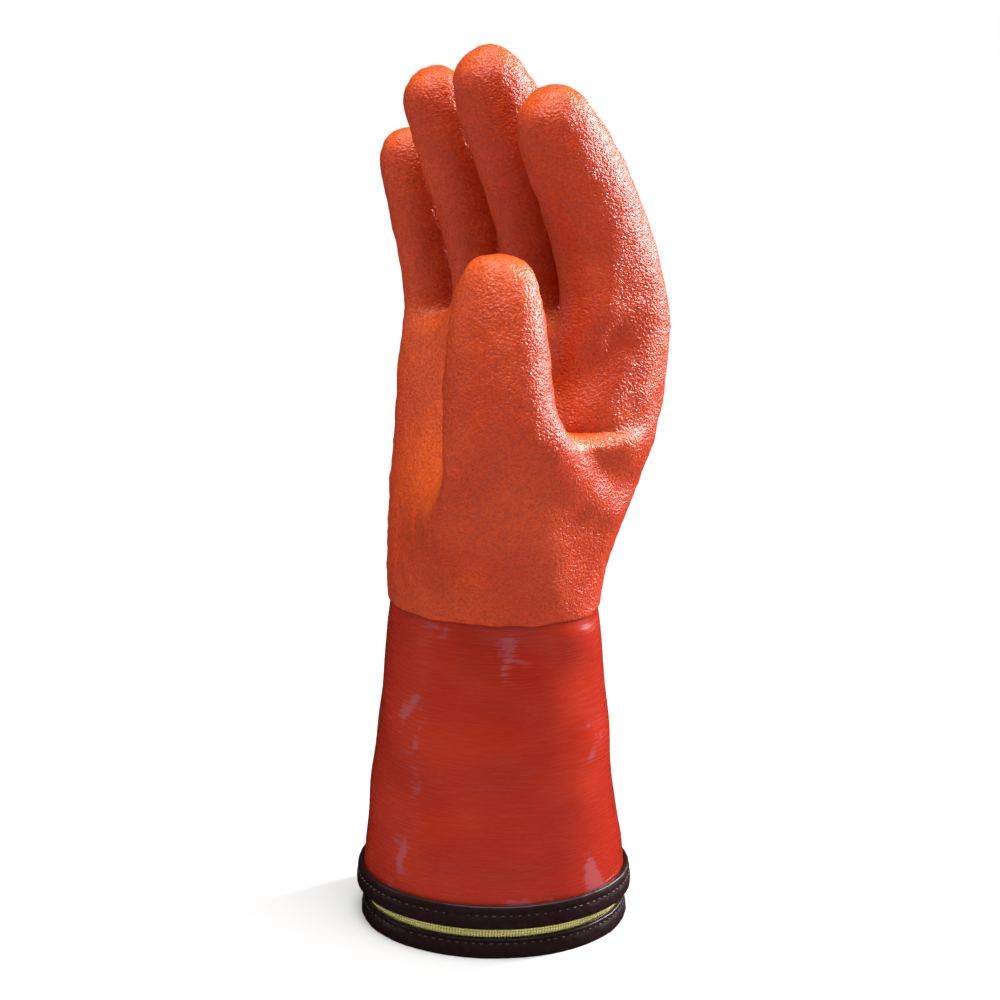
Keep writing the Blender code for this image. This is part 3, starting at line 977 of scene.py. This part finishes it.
def sun_light(strength):
    """A wide, soft sun, high and a little towards the camera."""
    data = bpy.data.lights.new("sun", "SUN")
    data.energy = strength
    data.angle = math.radians(SUN_DISC)
    made = bpy.data.objects.new("sun", data)
    made.rotation_euler = (math.radians(SUN_LEAN), 0, math.radians(VIEW_AZIMUTH + SUN_ROUND))
    bpy.context.scene.collection.objects.link(made)


def paper_floor(settings):
    """A flat square floor. The gloss doesn't mirror it, which keeps the PVC's colours deep."""
    mesh = bpy.data.meshes.new("floor")
    signs = ((-1, -1), (1, -1), (1, 1), (-1, 1))
    mesh.from_pydata([(x * FLOOR_REACH, y * FLOOR_REACH, 0) for x, y in signs], [], [(0, 1, 2, 3)])
    mesh.materials.append(floor_paint(settings))
    floor = bpy.data.objects.new("floor", mesh)
    bpy.context.scene.collection.objects.link(floor)
    floor.visible_glossy = False


def view_camera():
    """The camera at the photograph's angle, looking at the aimed point."""
    tilt = math.radians(VIEW_ELEVATION)
    away = across_and_away()[1]
    towards = Vector((0, 0, math.sin(tilt))) - away * math.cos(tilt)
    data = bpy.data.cameras.new("camera")
    data.lens = VIEW_LENS
    data.sensor_width = VIEW_SENSOR
    data.clip_start = 0.01
    made = bpy.data.objects.new("camera", data)
    made.location = Vector(VIEW_TARGET) + towards * VIEW_DISTANCE
    made.rotation_euler = (-towards).to_track_quat("-Z", "Y").to_euler()
    bpy.context.scene.collection.objects.link(made)
    return made


def surround(settings):
    """A pale room: soft behind the glove, dim behind the camera, and seen as plain white."""
    world = bpy.data.worlds.new("surround")
    world.use_nodes = True
    tree = world.node_tree
    tree.nodes.clear()
    away = across_and_away()[1] + Vector((0, 0, 0.35))
    place = add_node(tree, "ShaderNodeTexCoord").outputs["Generated"]
    facing = add_node(
        tree, "ShaderNodeVectorMath", links={0: place}, operation="DOT_PRODUCT", inputs={1: away}
    ).outputs["Value"]
    light = ramp(tree, facing, -0.15, 0.95, settings.surround_front, settings.surround_back)
    seen = add_node(tree, "ShaderNodeLightPath").outputs["Is Camera Ray"]
    strength = arithmetic(tree, "MAXIMUM", light, seen)
    background = add_node(
        tree, "ShaderNodeBackground", links={"Strength": strength}, inputs={"Color": (1, 1, 1, 1)}
    )
    add_node(tree, "ShaderNodeOutputWorld", links={"Surface": background.outputs["Background"]})
    bpy.context.scene.world = world
    world.cycles_visibility.glossy = False


class GLOVE_OT_stage(bpy.types.Operator):
    """Makes the floor, the lights, the pale surround and the camera."""

    bl_idname = "glove.stage"
    bl_label = "Stage"

    def execute(self, context):
        scene = context.scene
        settings = scene.glove_stage
        paper_floor(settings)
        area_light(
            "key",
            settings.key_power,
            size=(0.16, 0.5),
            spread=50,
            place=(0.98, 0.52, 0.50),
            colour=(1, 0.94, 0.97),
        )
        area_light(
            "fill",
            settings.fill_power,
            size=(0.3, 0.6),
            spread=60,
            place=(-0.95, 0.05, 0.45),
            colour=(1, 0.98, 0.97),
        )
        sun_light(settings.sun_strength)
        surround(settings)
        scene.camera = view_camera()
        scene.view_settings.view_transform = "Standard"
        return {"FINISHED"}


class GLOVE_PT_panel(bpy.types.Panel):
    """Lists the glove's pieces and their settings."""

    bl_label = "PVC coated work glove"
    bl_idname = "GLOVE_PT_panel"
    bl_space_type = "VIEW_3D"
    bl_region_type = "UI"
    bl_category = "Glove"

    def draw(self, context):
        for name, operators in GROUPS.items():
            box = self.layout.box()
            settings = getattr(context.scene, name)
            for key in settings.bl_rna.properties.keys():
                if key not in ("rna_type", "name"):
                    box.prop(settings, key)
            for operator in operators:
                box.operator(operator.bl_idname)


GROUPS = {
    "glove_hand": (GLOVE_OT_hand,),
    "glove_sleeve": (GLOVE_OT_sleeve,),
    "glove_binding": (GLOVE_OT_tapes, GLOVE_OT_liner),
    "glove_stage": (GLOVE_OT_stage,),
}
SETTINGS = {
    "glove_hand": GloveHandSettings,
    "glove_sleeve": GloveSleeveSettings,
    "glove_binding": GloveBindingSettings,
    "glove_stage": GloveStageSettings,
}


def register():
    for name, group in SETTINGS.items():
        bpy.utils.register_class(group)
        setattr(bpy.types.Scene, name, PointerProperty(type=group))
    for operators in GROUPS.values():
        for operator in operators:
            bpy.utils.register_class(operator)
    bpy.utils.register_class(GLOVE_PT_panel)


def unregister():
    bpy.utils.unregister_class(GLOVE_PT_panel)
    for operators in GROUPS.values():
        for operator in operators:
            bpy.utils.unregister_class(operator)
    for name, group in SETTINGS.items():
        delattr(bpy.types.Scene, name)
        bpy.utils.unregister_class(group)


def main():
    register()
    bpy.ops.glove.stage()
    bpy.ops.glove.hand()
    bpy.ops.glove.sleeve()
    bpy.ops.glove.tapes()
    bpy.ops.glove.liner()


if __name__ == "__main__":
    main()
